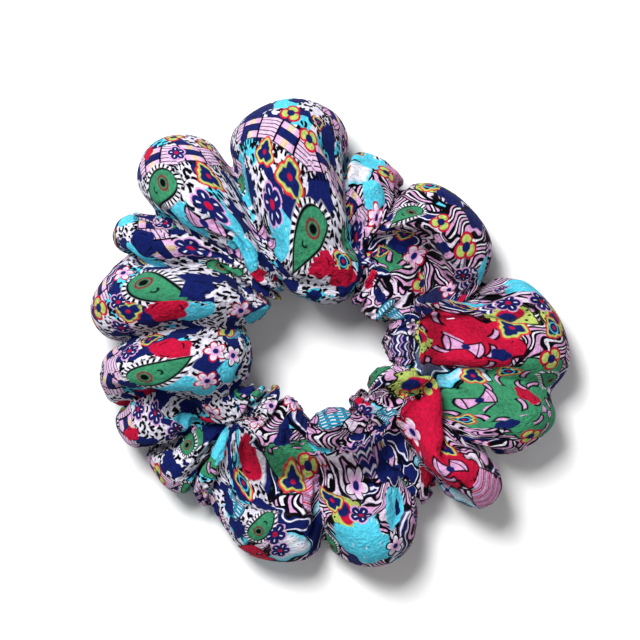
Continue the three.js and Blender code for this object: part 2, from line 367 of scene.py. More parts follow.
# Motifs as they lie in the photo's layout, all generic. Places are (angle in degrees,
# distance from the hole's centre in mm). A drop runs from its round end to its tip.
DROPS = [
    (131, 54, 139, 46.6, 6.2), (114, 43.7, 119, 32.6, 6), (142, 31.5, 132, 25, 4.6), (159, 46, 160, 31, 7),
    (190, 44, 186, 31, 6.2), (89, 31, 106, 20, 6.6), (228, 48, 224, 43, 3.6), (251.5, 48, 256, 41, 5),
    (54, 41, 60, 33, 5.4), (219, 40, 214, 35, 4.4),
]
DROP, EYE, FLOWER, BLOB, PETALS, BOW, SUN, RED_BLOB = range(1, 9)
SPOTS = [
    (EYE, 122, 48, 3.9), (FLOWER, 127, 43, 3.2), (BOW, 132, 40, 3.4), (SUN, 124, 61, 2.6),
    (SUN, 119, 56, 2.6),
    (BLOB, 149, 49, 4.1), (FLOWER, 142, 39, 3), (BLOB, 153, 32, 3.8), (BLOB, 142, 25.5, 3.5),
    (RED_BLOB, 166, 37, 4.2), (EYE, 169, 45.7, 3.6), (FLOWER, 167, 48.7, 2.4), (PETALS, 154, 20, 3.2),
    (EYE, 177, 40, 3.5), (RED_BLOB, 180, 34.5, 4.2), (FLOWER, 181, 45, 3), (PETALS, 182, 24, 3),
    (PETALS, 185.5, 20, 3), (PETALS, 197, 27, 3), (FLOWER, 202, 42, 3.2), (BLOB, 219.5, 32, 3.5),
    (PETALS, 212, 30, 3), (PETALS, 232, 18, 3), (PETALS, 229.5, 22.6, 2.8), (RED_BLOB, 237, 31, 4.2),
    (EYE, 242, 37.6, 3.6), (BLOB, 241, 43, 3.2), (BLOB, 248, 22.5, 4.1), (BOW, 264, 18, 3.4),
    (SUN, 266, 29, 3), (EYE, 260, 33.4, 4.2), (EYE, 276, 37, 3.8), (FLOWER, 285, 42, 3.2),
    (PETALS, 292, 51, 3.2), (FLOWER, 257, 46.5, 3), (FLOWER, 260, 50, 2.6), (BLOB, 301, 29, 4.1),
    (PETALS, 319, 31, 3.6), (EYE, 322, 39, 3.2), (BOW, 318, 43.5, 4), (BOW, 0, 36, 3.4),
    (EYE, 6, 47, 4), (EYE, 5, 57.6, 3.8), (SUN, -3, 57, 3.2), (BOW, -18, 41, 3.6), (SUN, -22.5, 55.6, 3),
    (EYE, 55, 48, 3.8), (BLOB, 49, 52, 4.1), (BLOB, 39, 52.4, 3.8), (SUN, 34, 44, 3.2), (SUN, 31, 30, 3),
    (PETALS, 29, 51, 3.4), (PETALS, 43, 32, 3.2), (EYE, 52, 35, 2.8), (SUN, 68, 45.5, 3.2),
    (PETALS, 65, 35, 3.2), (SUN, 96, 57, 2.8), (SUN, 92, 50, 2.6), (BLOB, 104, 58.5, 4.6),
    (EYE, 99, 41, 3.8), (EYE, 105, 48, 3.2), (FLOWER, 107, 35, 3), (RED_BLOB, 88, 20, 4.2),
    (RED_BLOB, 69, 18, 4.2), (EYE, 73, 22, 3), (FLOWER, 70, 28, 3.2), (PETALS, 84, 39, 2.6),
]
GREEN, TEAL, NAVY, RED, BANDS, DOTTED, TEETH = range(1, 8)
PATCHES = [
    (TEAL, 136, 43.6, 3.6), (TEAL, 125.5, 38, 3.4), (TEAL, 127, 28, 4.4), (TEAL, 145, 56, 3.6),
    (TEAL, 163, 30, 3.6), (TEAL, 152, 16, 3.6), (TEAL, 195, 35, 4), (TEAL, 196, 21.6, 3.6),
    (TEAL, 210, 37, 3.6), (GREEN, 217, 38, 3.6), (TEAL, 202, 28, 3.4), (TEAL, 226, 34, 4),
    (GREEN, 227, 39, 3.4), (TEAL, 217, 17.5, 4.2), (TEETH, 241, 42, 4.2), (GREEN, 258, 25, 9.5),
    (BANDS, 268, 34.6, 5), (DOTTED, 280, 40, 5.6), (TEAL, 296, 43, 5.2),
    (TEAL, 282, 49, 7.5), (TEETH, 284, 16, 5.6), (NAVY, 297, 27, 4.6), (RED, 308, 17, 3.6),
    (RED, 329, 15, 3.6), (RED, 318, 38, 10.5), (BANDS, 320, 54.5, 5.6), (TEAL, 312, 53, 4.6),
    (DOTTED, 338, 25, 6.4), (GREEN, 338, 37, 6), (NAVY, 357, 20, 5), (DOTTED, 6, 25, 4.6),
    (DOTTED, 9, 47, 6), (RED, 1, 38, 9), (DOTTED, 7, 58, 5), (NAVY, 13, 41, 4), (TEAL, 17, 53, 5),
    (GREEN, -9, 51, 9), (GREEN, -19, 45, 9), (GREEN, -17, 57, 8), (DOTTED, 54, 50.5, 5.6),
    (TEAL, 40, 55, 4.2), (NAVY, 23, 40, 4.6), (TEAL, 25, 45, 3.4),
    (TEAL, 18, 36, 4), (TEETH, 25, 18.6, 4.4), (TEAL, 75, 47, 5.4), (TEAL, 70, 40, 4),
    (BANDS, 65, 49.5, 4.4), (GREEN, 50, 27, 4.6), (NAVY, 104, 59, 4.6), (TEAL, 81, 42.6, 3.6),
    (TEAL, 108, 27, 4), (TEAL, 97, 61, 3.2),
]
RIBBONS = [
    [(133, 60.6), (125, 56.7), (116, 50), (113, 45)],
    [(141, 52.5), (150, 40.6)],
    [(156, 54.6), (162, 54.2), (168, 53.4)],
    [(179, 49), (186, 49.8), (193, 50)],
    [(200, 49), (206, 51), (213, 53), (223, 52), (232, 48), (240, 47)],
    [(108.5, 55), (104, 54.4), (100, 53.6), (94, 48), (88.6, 42), (80, 37), (68, 32), (57, 34)],
    [(87, 57.6), (83, 51), (80, 45)],
]
SCATTERED_SPOTS = [DROP, EYE, FLOWER, FLOWER, *[BLOB] * 4, PETALS, PETALS, SUN, BOW, BOW, RED_BLOB]
SCATTERED_PATCHES = [GREEN, TEAL, TEAL, RED, NAVY, TEETH]
STRETCH_MM = 100.0  # from one puff's stretch of print to the next
STRETCH_USED_MM = 32  # how far from its middle a stretch has scattered motifs


def skin():
    """The whole sleeve as one mesh, with a quad for each cell of the grid."""
    mesh = bpy.data.meshes.new("sleeve")
    mesh.from_pydata((cloth * MM).reshape(-1, 3).tolist(), [], tube_faces(ROWS, COLS, True).tolist())
    return mesh


def cloth_corners():
    """The cloth coordinates (along, round) in mm of every quad's four corners."""
    i, j = np.meshgrid(np.arange(ROWS), np.arange(COLS), indexing="ij")
    s = np.stack([i, i, i + 1, i + 1], -1).reshape(-1, 4) * LENGTH_MM / ROWS
    t = np.stack([j, j + 1, j + 1, j], -1).reshape(-1, 4) * ROUND_MM / COLS
    return np.stack([s, t], -1)


def print_corners():
    """Where every quad's corners lie on the print, in mm, along the surface from their puff's middle.
    Each puff has a stretch of print of its own: the cloth between two of them is hidden in the crease."""
    soft = blurred(cloth, 2)
    steps = np.linalg.norm(roll(soft, -1, 0) - soft, axis=-1)
    s = (seam_start() + (np.arange(ROWS) + 0.5) * LENGTH_MM / ROWS) % LENGTH_MM
    puff = np.searchsorted(CLOTH_AT, s, side="right") - 1
    first, last = np.empty((ROWS, COLS)), np.empty((ROWS, COLS))
    for number in range(len(PUFFS)):
        rows = np.nonzero(puff == number)[0]
        if number == 0:  # the closing seam splits it
            rows = np.concatenate([rows[rows > ROWS / 2], rows[rows < ROWS / 2]])
        run = np.concatenate([np.zeros((1, COLS)), np.cumsum(steps[rows], 0)])
        run = run - run[len(rows) // 2] + STRETCH_MM * (number + 0.5)
        first[rows], last[rows] = run[:-1], run[1:]
    x = np.stack([first, roll(first, -1, 1), roll(last, -1, 1), last], -1).reshape(-1, 4)
    return np.stack([x, cloth_corners()[..., 1]], -1)


whole = skin()
corners = print_corners()
middles = corners.mean(1)
quads = tube_faces(ROWS, COLS, True).tolist()
tree = BVHTree.FromPolygons([tuple(p) for p in (cloth * MM).reshape(-1, 3)], quads)


def on_cloth(angle, radius):
    """Where what is seen from above at that place lies on the print."""
    a = math.radians(angle)
    for r in (radius, radius - 1.5, radius + 1.5, radius - 3, radius + 3):
        above = Vector(((CENTRE[0] + r * math.cos(a)) * MM, (CENTRE[1] + r * math.sin(a)) * MM, 0.1))
        face = tree.ray_cast(above, Vector((0, 0, -1)))[2]
        if face is not None:
            return middles[face]
    return None


def spot(kind, place, direction, size, chance):
    return (kind, place[0], place[1], direction, size, chance.uniform(0.05, 0.9))


def placed_motifs(chance):
    found = []
    for a0, r0, a1, r1, half in DROPS:
        start, tip = on_cloth(a0, r0), on_cloth(a1, r1)
        if start is None or tip is None:
            continue
        run = tip - start
        length = np.hypot(*run)
        run = run / max(length, 1e-6)
        found.append(spot(DROP, start + run * half * 0.75, math.atan2(run[1], run[0]), half, chance))
    for kind, a, r, half in SPOTS:
        place = on_cloth(a, r)
        if place is not None:
            found.append(spot(kind, place, chance.uniform(0, 6.28), half, chance))
    return found


def placed_patches(chance):
    found = []
    for kind, a, r, half in PATCHES:
        place, beside = on_cloth(a, r), on_cloth(a, r + 2)
        if place is None:
            continue
        run = beside - place if beside is not None else np.array([0, 1.0])
        turn = math.atan2(run[1], run[0]) if np.hypot(*run) < 8 else chance.uniform(0, 6.28)
        found.append(spot(kind, place, turn, half, chance))
    return found


def scattered(found, kinds, step, sizes, clear, chance):
    """Fills the rest of the cloth with more of them, clear of the placed ones."""
    out = list(found)
    for s in np.arange(step / 2, STRETCH_MM * len(PUFFS), step):
        if abs(s % STRETCH_MM - STRETCH_MM / 2) > STRETCH_USED_MM:
            continue
        for t in np.arange(step / 2, ROUND_MM, step):
            place = np.array([s, t]) + chance.uniform(-0.4, 0.4, 2) * step
            half = chance.uniform(*sizes)
            kind, turn = int(chance.choice(kinds)), chance.uniform(0, 6.28)
            if kinds is SCATTERED_SPOTS and kind == DROP:
                half *= 1.6
            gaps = [math.hypot(place[0] - m[1], place[1] - m[2]) - clear * (half + m[4]) for m in out]
            if min(gaps) > 0:
                out.append(spot(kind, place, turn, half, chance))
    return out


def nearest(motifs, reach):
    """Gives each quad its nearest motif: that motif's own coordinates at the corners, and its kind."""
    table = np.array(motifs)
    offset = middles[:, None, :] - table[None, :, 1:3]
    share = np.hypot(offset[..., 0], offset[..., 1]) / table[None, :, 4]
    best = share.argmin(1)
    near = share[np.arange(len(best)), best] < reach + 0.9 / table[best, 4]
    chosen = table[best]
    delta = corners - chosen[:, None, 1:3]
    c, n = np.cos(chosen[:, 3])[:, None], np.sin(chosen[:, 3])[:, None]
    x = (delta[..., 0] * c + delta[..., 1] * n) / chosen[:, 4, None]
    y = (-delta[..., 0] * n + delta[..., 1] * c) / chosen[:, 4, None]
    kind = np.where(near, chosen[:, 0] + chosen[:, 5], 0.0)
    return np.stack([x, y], -1), np.repeat(kind[:, None], 4, 1)


def ribbon_runs(line):
    """A ribbon's course on the print, as a few points of it in each puff's stretch that it crosses."""
    runs = {}
    for (a0, r0), (a1, r1) in zip(line[:-1], line[1:]):
        for share in np.arange(12) / 12:
            place = on_cloth(lerp(a0, a1, share), lerp(r0, r1, share))
            if place is not None:
                runs.setdefault(int(place[0] // STRETCH_MM), []).append(place)
    return [run[::max(1, (len(run) - 1) // 3)] for run in runs.values() if len(run) > 3]


def ribbon_coordinates():
    """Each quad's corners along and across the nearest printed ribbon, in mm."""
    out = np.full(corners.shape, 50.0)
    best = np.full(len(corners), 1e9)
    for points in [run for line in RIBBONS for run in ribbon_runs(line)]:
        so_far = 0.0
        for a, b in zip(points[:-1], points[1:]):
            length = max(float(np.hypot(*(b - a))), 0.1)
            d = (b - a) / length
            delta = corners - a
            along = delta @ d
            across = delta[..., 0] * -d[1] + delta[..., 1] * d[0]
            over = np.maximum(np.maximum(-along, along - length), 0).mean(1)
            away = np.hypot(np.abs(across).mean(1), over)
            use = (away < best) & (over < 2.5) & (np.abs(across).mean(1) < 6)
            out[use] = np.stack([along + so_far, across], -1)[use]
            best[use] = away[use]
            so_far += length
    return out


def print_layers():
    chance = np.random.default_rng(11)
    motifs = placed_motifs(chance)
    motifs = scattered(motifs, SCATTERED_SPOTS, 8.2, (2.0, 3.6), 0.92, chance)
    patches = placed_patches(chance)
    patches = scattered(patches, SCATTERED_PATCHES, 22, (3.4, 5.8), 1.25, chance)
    motif, motif_kind = nearest(motifs, 1.3)
    patch, patch_kind = nearest(patches, 1.3)
    layers = {
        "cloth": cloth_corners(), "print": corners, "motif": motif, "patch": patch,
        "ribbon": ribbon_coordinates(),
        "kinds": np.stack([motif_kind, patch_kind], -1),
    }
    for name, values in layers.items():
        whole.uv_layers.new(name=name).data.foreach_set("uv", values.reshape(-1).astype(np.float32))


print_layers()
PALE_FIRST_MM, PALE_LAST_MM = STRETCH_MM * 3, STRETCH_MM * 11.45  # the left side's ground is white
PALE_MIDDLE_MM, PALE_HALF_MM = (PALE_FIRST_MM + PALE_LAST_MM) / 2, (PALE_LAST_MM - PALE_FIRST_MM) / 2


# ---------------- node helpers

class Num:
    """A number in the material being made, so that node trees read as sums."""

    def __init__(self, socket):
        self.socket = socket

    __add__ = __radd__ = lambda a, b: calc("ADD", a, b)
    __sub__ = lambda a, b: calc("SUBTRACT", a, b)
    __rsub__ = lambda a, b: calc("SUBTRACT", b, a)
    __mul__ = __rmul__ = lambda a, b: calc("MULTIPLY", a, b)
    __truediv__ = lambda a, b: calc("DIVIDE", a, b)
    __abs__ = lambda a: calc("ABSOLUTE", a)


tree_now = None


def new_node(kind, **inputs):
    node = tree_now.nodes.new("ShaderNode" + kind)
    for name, value in inputs.items():
        put(node, name, value)
    return node


def put(node, index, value):
    if isinstance(value, Num):
        tree_now.links.new(value.socket, node.inputs[index])
    else:
        node.inputs[index].default_value = value


def calc(operation, *values):
    node = new_node("Math")
    node.operation = operation
    for index, value in enumerate(values):
        put(node, index, value)
    return Num(node.outputs[0])


def low(a, b):
    return calc("MINIMUM", a, b)


def high(a, b):
    return calc("MAXIMUM", a, b)


def inside(distance, soft=0.05):
    """1 where distance is below 0, 0 where it is above, with a soft step."""
    node = new_node("MapRange")
    put(node, 0, distance)
    put(node, 1, soft)
    put(node, 2, -soft)
    return Num(node.outputs[0])


def near(value, middle, half, soft=0.05):
    return inside(abs(value - middle) - half, soft)


def split(socket):
    """The x, y and z of a socket that carries a vector."""
    node = new_node("SeparateXYZ")
    tree_now.links.new(socket, node.inputs[0])
    return [Num(node.outputs[i]) for i in range(3)]


def uv(name):
    node = new_node("UVMap")
    node.uv_map = name
    return split(node.outputs[0])[:2]


def place_in_object():
    """Where the point is in its own object, as a vector and as x, y and z."""
    place = new_node("TexCoord").outputs["Object"]
    return Num(place), split(place)


def vector(x, y, z=0.0):
    return Num(new_node("CombineXYZ", X=x, Y=y, Z=z).outputs[0])


def noise(where, scale, detail=2.0, rough=0.5):
    return Num(new_node("TexNoise", Vector=where, Scale=scale, Detail=detail, Roughness=rough).outputs[0])


def cells(where, scale, feature="F1"):
    node = new_node("TexVoronoi", Vector=where, Scale=scale)
    node.feature = feature
    return Num(node.outputs["Distance"])


def rgb(red, green, blue):
    """A screen colour as the light it stands for."""
    def light(v):
        v /= 255
        return v / 12.92 if v <= 0.04045 else ((v + 0.055) / 1.055) ** 2.4
    return (light(red), light(green), light(blue), 1.0)


def over(under, color, mask):
    """color painted over under where mask is 1."""
    node = new_node("Mix")
    node.data_type = "RGBA"
    put(node, 0, mask)
    put(node, 6, under)
    put(node, 7, color)
    return Num(node.outputs[2])


def fill(under, color, distance, soft=0.03):
    """color painted over under where distance is below 0."""
    return over(under, color, inside(distance, soft))


def new_material(name):
    global tree_now
    material = bpy.data.materials.new(name)
    material.use_nodes = True
    tree_now = material.node_tree
    return material, tree_now.nodes["Principled BSDF"]


def bump(shader, height, distance):
    node = new_node("Bump", Height=height, Distance=distance, Strength=1.0)
    put(shader, "Normal", Num(node.outputs[0]))


# ---------------- the printed crepe

WHITE, LILAC = rgb(244, 241, 253), rgb(216, 210, 238)
PINK, PALE_PINK = rgb(228, 172, 220), rgb(230, 196, 230)
INK, DARK = rgb(20, 32, 98), rgb(4, 4, 12)
LEAF, LEAF_DARK = rgb(64, 150, 108), rgb(40, 106, 86)
SEA, SEA_DARK = rgb(88, 214, 242), rgb(30, 150, 184)
MAROON = rgb(132, 24, 48)
SCARLET, LIME, CORAL, BEIGE = rgb(200, 22, 62), rgb(190, 210, 110), rgb(220, 50, 60), rgb(235, 205, 170)


def turned(x, y):
    return calc("ARCTAN2", y, x), calc("SQRT", x * x + y * y)


def wave(angle, count, phase=0.0):
    return calc("COSINE", angle * count + phase)


def net(x, y, scale):
    """The nearest point of a loose net: the way to it in cells, and three numbers that are its own."""
    node = new_node("TexVoronoi", Vector=vector(x, y), Scale=scale)
    place, own = split(node.outputs["Position"]), split(node.outputs["Color"])
    return (x - place[0]) * scale, (y - place[1]) * scale, own


def turned_by(x, y, angle):
    c, n = calc("COSINE", angle), calc("SINE", angle)
    return x * c + y * n, y * c - x * n


def strewn(s, t, scale, half, thin, share, bend=0.0):
    """Short marks at all angles, one in most cells of a loose net: 1 on a mark."""
    x, y, own = net(s, t, scale)
    u, v = turned_by(x, y, own[0] * 6.28)
    v = v + u * u * bend
    marks = near(u, 0.0, half, 0.05) * near(v, 0.0, thin, 0.03)
    return marks * calc("LESS_THAN", own[1], share)


def pale_ground(s, t):
    """White with turquoise splashes, navy blots and short black marks."""
    place = vector(s, t)
    marks = high(strewn(s, t, 0.48, 0.4, 0.17, 0.97, 0.9), strewn(s + 37, t + 11, 0.42, 0.24, 0.17, 0.95))
    splash = noise(vector(s + 17, t), 0.1, 2, 0.5)
    blots = noise(vector(s, t + 53), 0.15, 2, 0.45)
    color = over(WHITE, LILAC, noise(place, 0.12, 3) * 0.6)
    color = fill(color, SEA, 0.585 - splash, 0.006)
    color = over(color, DARK, marks)
    return fill(color, INK, 0.54 - blots, 0.004)


def pink_ground(s, t):
    """Fields of double bands and of outlined petals, some navy or turquoise, with black outlines."""
    place = vector(s, t)
    x = s + noise(place, 0.13, 1, 0.4) * 12
    y = t + noise(vector(s + 40, t), 0.13, 1, 0.4) * 12
    scale = 0.115
    across, along, own = net(x, y, scale)
    edge = cells(vector(x, y), scale, "DISTANCE_TO_EDGE") / scale
    u, _ = turned_by(across / scale, along / scale, own[0] * 6.28)
    band = calc("FRACT", u / 2.5)
    bands = over(PINK, WHITE, near(band, 0.12, 0.12, 0.02))
    bands = over(bands, DARK, high(near(band, 0.33, 0.135, 0.02), near(band, 0.9, 0.135, 0.02)))
    petal = cells(vector(x * 1.25, y * 0.85), 0.205, "DISTANCE_TO_EDGE") / 0.205
    petals = fill(over(WHITE, PALE_PINK, noise(place, 0.2, 1)), DARK, 0.33 - petal, 0.07)
    petals = fill(petals, PINK, 0.84 - petal, 0.07)
    petals = over(petals, DARK, near(petal, 1.5, 0.2, 0.06) * inside(own[2] - 0.5, 0.01))
    color = fill(bands, petals, 0.36 - own[1], 0.01)
    navy = over(INK, WHITE, near(edge, 0.75, 0.16, 0.05))
    color = fill(color, navy, 0.66 - own[1], 0.01)
    color = fill(color, fill(SEA, WHITE, 1.3 - edge, 0.9), 0.94 - own[1], 0.01)
    return fill(color, DARK, edge - 0.33, 0.06)


def ground_color(s, t):
    border = noise(vector(s, t), 0.05, 2) * 24 - 12
    pink = inside(PALE_HALF_MM - abs(s + border - PALE_MIDDLE_MM), 0.3)
    return over(pale_ground(s, t), pink_ground(s, t), pink)


def patch_color(color, s, t):
    x, y = uv("patch")
    _, kinds = uv("kinds")
    kind = calc("FLOOR", kinds)
    chance = calc("FRACT", kinds)
    angle, r = turned(x, y)
    wobble = noise(vector(s, t, 3.0), 0.22, 2)
    edge = r - 0.95 + (wobble - 0.5) * 0.9 + wave(angle, 3, chance * 40) * 0.07
    shown = inside(edge, 0.03) * calc("GREATER_THAN", kind, 0.5)
    strokes = cells(vector(x * 1.6 + chance * 9, y * 5.0), 1.0)
    stripes = wave(t + wave(s, 0.8) * 0.5, 3.1)
    scallops = calc("PINGPONG", s + chance * 7, 1.15) / 1.15
    rows = calc("FRACT", t / 2.5 + chance + 0.4 * calc("SQRT", scallops))
    sparse_rim = strewn(s + 7, t + 3, 0.25, 0.45, 0.22, 0.5, 0.8)
    sparse = strewn(s + 7, t + 3, 0.25, 0.33, 0.095, 0.5, 0.8)
    red_disc = calc("SQRT", (x - 0.1) * (x - 0.1) + (y + 0.05) * (y + 0.05) * 1.6)
    navy_disc = calc("SQRT", (x + 0.08) * (x + 0.08) * 1.3 + (y - 0.1) * (y - 0.1))
    eye = fill(fill(LIME, SCARLET, red_disc - 0.5), INK, navy_disc - 0.36, 0.04)
    teeth = over(SEA_DARK, WHITE, near(stripes, 0.0, 0.45))
    dots = near(r, 0.74, 0.06, 0.02) * inside(0.55 - wave(angle, 14), 0.2)
    pieces = {
        GREEN: over(over(LEAF, DARK, sparse_rim), PINK, sparse),
        TEAL: fill(SEA, over(SEA, WHITE, 0.75), strokes - 0.13, 0.05),
        NAVY: over(over(INK, WHITE, near(rows, 0.3, 0.1)), PINK, near(rows, 0.7, 0.06)),
        RED: over(over(SCARLET, DARK, sparse_rim), PINK, sparse),
        BANDS: over(over(PINK, DARK, near(stripes, 0.15, 0.18)), CORAL, near(stripes, -0.95, 0.1)),
        DOTTED: over(eye, DARK, dots),
        TEETH: over(teeth, INK, inside(scallops - 0.4) * near(stripes, 0.0, 0.4)),
    }
    inner = LEAF
    for number, piece in pieces.items():
        inner = over(inner, piece, near(kind, number, 0.4, 0.02))
    outlined = calc("GREATER_THAN", abs(kind - TEAL), 0.5)
    inner = over(inner, DARK, near(edge, -0.03, 0.04, 0.02) * outlined)
    return over(color, inner, shown)


def motif_color(color):
    x, y = uv("motif")
    kinds, _ = uv("kinds")
    kind = calc("FLOOR", kinds)
    chance = calc("FRACT", kinds)
    angle, r = turned(x, y)

    def drop(color):
        bent = y + x * x * 0.16 - 0.06
        u = low(high(x * 0.5 + 0.5, 0.0), 1.0)
        half = calc("SQRT", u) * (1.0 - u) * 1.12
        away = high(abs(bent) - half, abs(x) - 1.0)
        turn, _ = turned(x + 0.3, bent * 1.3)
        ring = calc("SQRT", (x + 0.42) * (x + 0.42) + bent * bent)
        fringe = near(away, 0.12, 0.08, 0.03) * inside(0.1 - wave(turn, 26), 0.2)
        color = fill(color, WHITE, away - 0.2, 0.04)
        color = over(color, DARK, fringe)
        color = fill(color, DARK, away - 0.05, 0.02)
        body = over(LEAF, LEAF_DARK, inside(0.0 - bent, 0.25) * 0.35)
        hook = calc("SQRT", (x - 0.06) * (x - 0.06) + bent * bent)
        body = over(body, DARK, near(hook, 0.085, 0.03, 0.02) * inside(0.04 - x, 0.03))
        body = fill(body, MAROON, ring - 0.24)
        body = fill(body, LEAF, ring - 0.17)
        body = fill(body, DARK, ring - 0.13)
        return fill(color, body, away + 0.03, 0.02)

    def eye(color):
        rim = 0.78 + wave(angle, 3, chance * 30) * 0.12 + wave(angle, 7) * 0.05
        color = fill(color, CORAL, r - rim)
        color = fill(color, LIME, r - rim + 0.12)
        color = fill(color, INK, r - rim + 0.27, 0.04)
        color = over(color, SEA, near(r, 0.36, 0.04, 0.03) * calc("GREATER_THAN", chance, 0.6))
        return fill(color, SCARLET, r - 0.13, 0.04)

    def flower(color):
        lobe = abs(wave(angle, 2.5, chance * 30))
        rim = 0.5 + calc("SQRT", lobe) * 0.36
        color = fill(color, PINK, r - rim - 0.13)
        color = fill(color, INK, r - rim)
        color = over(color, WHITE, near(lobe, 1.0, 0.03, 0.02) * near(r, 0.5, 0.12, 0.04))
        return fill(color, SCARLET, r - 0.2)

    def blob(color, paint, mark):
        rim = 0.78 + wave(angle, 2, chance * 30) * 0.13 + wave(angle, 5) * 0.08
        color = fill(color, paint, r - rim, 0.04)
        return over(color, mark, near(r, 0.5, 0.03, 0.02) * inside(wave(angle, 3) + 0.4, 0.1))

    def petals(color):
        rim = 0.5 + abs(wave(angle, 2.5, chance * 30)) * 0.45
        color = fill(color, over(SCARLET, DARK, calc("GREATER_THAN", chance, 0.45)), r - rim)
        color = fill(color, fill(WHITE, PINK, r - 0.5, 0.2), r - rim + 0.15)
        return fill(color, INK, r - 0.22)

    def bow(color):
        half = 0.2 + abs(x) * 0.6
        away = high(abs(y) - half, r - 0.98)
        color = fill(color, DARK, away)
        color = fill(color, PINK, away + 0.11)
        color = over(color, DARK, near(abs(x), 0.6, 0.035, 0.02) * inside(away, 0.03))
        return fill(color, INK, r - 0.2)

    def sun(color):
        lobe = calc("SQRT", abs(wave(angle, 1.5, chance * 30)))
        rim = 0.42 + lobe * 0.5
        color = fill(color, SCARLET, r - rim - 0.08)
        color = over(color, LIME, inside(r - rim + 0.12, 0.03) * inside(0.62 - lobe, 0.05))
        return fill(color, INK, r - 0.34)

    shapes = {
        DROP: drop, EYE: eye, FLOWER: flower, BLOB: lambda c: blob(c, INK, DARK), PETALS: petals,
        BOW: bow, SUN: sun, RED_BLOB: lambda c: blob(c, SCARLET, DARK),
    }
    ground = color
    for number, shape in shapes.items():
        color = over(color, shape(ground), near(kind, number, 0.4, 0.02))
    return color


def ribbon_color(color):
    along, across = uv("ribbon")
    cell = along / 5.2
    number, share = calc("FLOOR", cell), calc("FRACT", cell)
    odd = calc("GREATER_THAN", calc("FRACT", number * 0.5), 0.25)
    row = across / 1.75
    middle = inside(abs(row) - 0.5, 0.03)
    plain = over(over(PINK, PALE_PINK, near(share, 0.5, 0.3, 0.1)), INK, middle)
    plain = over(plain, BEIGE, near(share, 0.5, 0.14, 0.03) * inside(0.5 - abs(row), 0.03))
    lines = near(calc("PINGPONG", across, 0.44), 0.0, 0.1, 0.03)
    lined = over(PALE_PINK, DARK, lines)
    body = over(plain, lined, odd)
    body = over(body, DARK, near(abs(row), 0.5, 0.045, 0.02))
    body = fill(body, DARK, calc("PINGPONG", cell, 0.5) - 0.048, 0.012)
    body = fill(body, DARK, 1.4 - abs(row), 0.04)
    fringe = near(across, 3.2, 0.5, 0.1) * inside(wave(along, 6.5) - 0.1, 0.2)
    color = over(color, DARK, fringe)
    return fill(color, body, abs(row) - 1.52, 0.04)


def crepe_material():
    material, shader = new_material("printed_crepe")
    s, t = uv("print")
    color = ground_color(s, t)
    color = patch_color(color, s, t)
    color = ribbon_color(color)
    color = motif_color(color)
    grain = vector(s, t)
    pebble = cells(vector(s, t * 1.25), 1.5, "SMOOTH_F1")
    fine = noise(grain, 2.6, 3, 0.6)
    uneven = noise(grain, 0.08, 3)
    shade = low(pebble * 0.4 + fine * 0.5 + 0.2 + uneven * 0.2, 1.0)
    tinted = new_node("VectorMath")
    tinted.operation = "SCALE"
    put(tinted, 0, color)
    put(tinted, "Scale", shade)
    along, _ = uv("cloth")
    seam = low(low(along, LENGTH_MM - along), 3.0)
    # The closing seam's groove: it dips the bump, and the same mask paints shade into the colour there.
    seam_groove_and_painted_shade = inside(seam - 0.7, 0.5)
    # Painted shade: the colour is darkened towards black in the closing seam's groove.
    put(shader, "Base Color", over(Num(tinted.outputs[0]), DARK, seam_groove_and_painted_shade * 0.35))
    put(shader, "Roughness", low(fine * 0.22 + 0.66, 0.95))
    shader.inputs["Sheen Weight"].default_value = 0.02
    shader.inputs["Sheen Roughness"].default_value = 0.5
    shader.inputs["Specular IOR Level"].default_value = 0.03
    creases = noise(vector(s * 0.5, t), 0.34, 3, 0.62)
    height = pebble * 0.55 + fine * 0.5 + creases * 2.6 - seam_groove_and_painted_shade * 1.6
    bump(shader, height, 0.00042)
    return material


crepe = crepe_material()


# ---------------- the sleeve's pieces

FACING = [-6, 39, 69, 97.5, 127.5, 147, 166, 187.5, 204, 221.5, 238.5, 260, 287.5, 304.5, 318.5, 354]
CUTS = [SEAM_ANGLE] + FACING[1:-1] + [SEAM_ANGLE + 360]


def ring_point(angle, radius, z=0.0):
    a = math.radians(angle)
    x, y = CENTRE[0] + radius * math.cos(a), CENTRE[1] + radius * math.sin(a)
    return Vector((x * MM, y * MM, z * MM))


def blend_across(obj):
    """Bakes the piece's placement into its mesh."""
    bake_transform(obj)


def stands_for(number, stem):
    """Each piece replaces the next body's CAD node; the first one replaces the seam side's too."""
    nodes = [f"{stem}_start"] if number == 1 else []
    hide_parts(*nodes, f"{stem}_end" if number == 15 else f"{stem}_{number:02d}")


def wedge(full, first, last):
    """The part of the sleeve between two upright planes through the hole's axis."""
    part = full.copy()
    for angle, side in ((first, 1), (last, -1)):
        a = math.radians(angle)
        bmesh.ops.bisect_plane(
            part, geom=part.verts[:] + part.edges[:] + part.faces[:], dist=1e-8, clear_inner=True,
            plane_co=ring_point(0, 0), plane_no=(-math.sin(a) * side, math.cos(a) * side, 0),
        )
    loose = [v for v in part.verts if not v.link_faces]
    bmesh.ops.delete(part, geom=loose, context="VERTS")
    return part


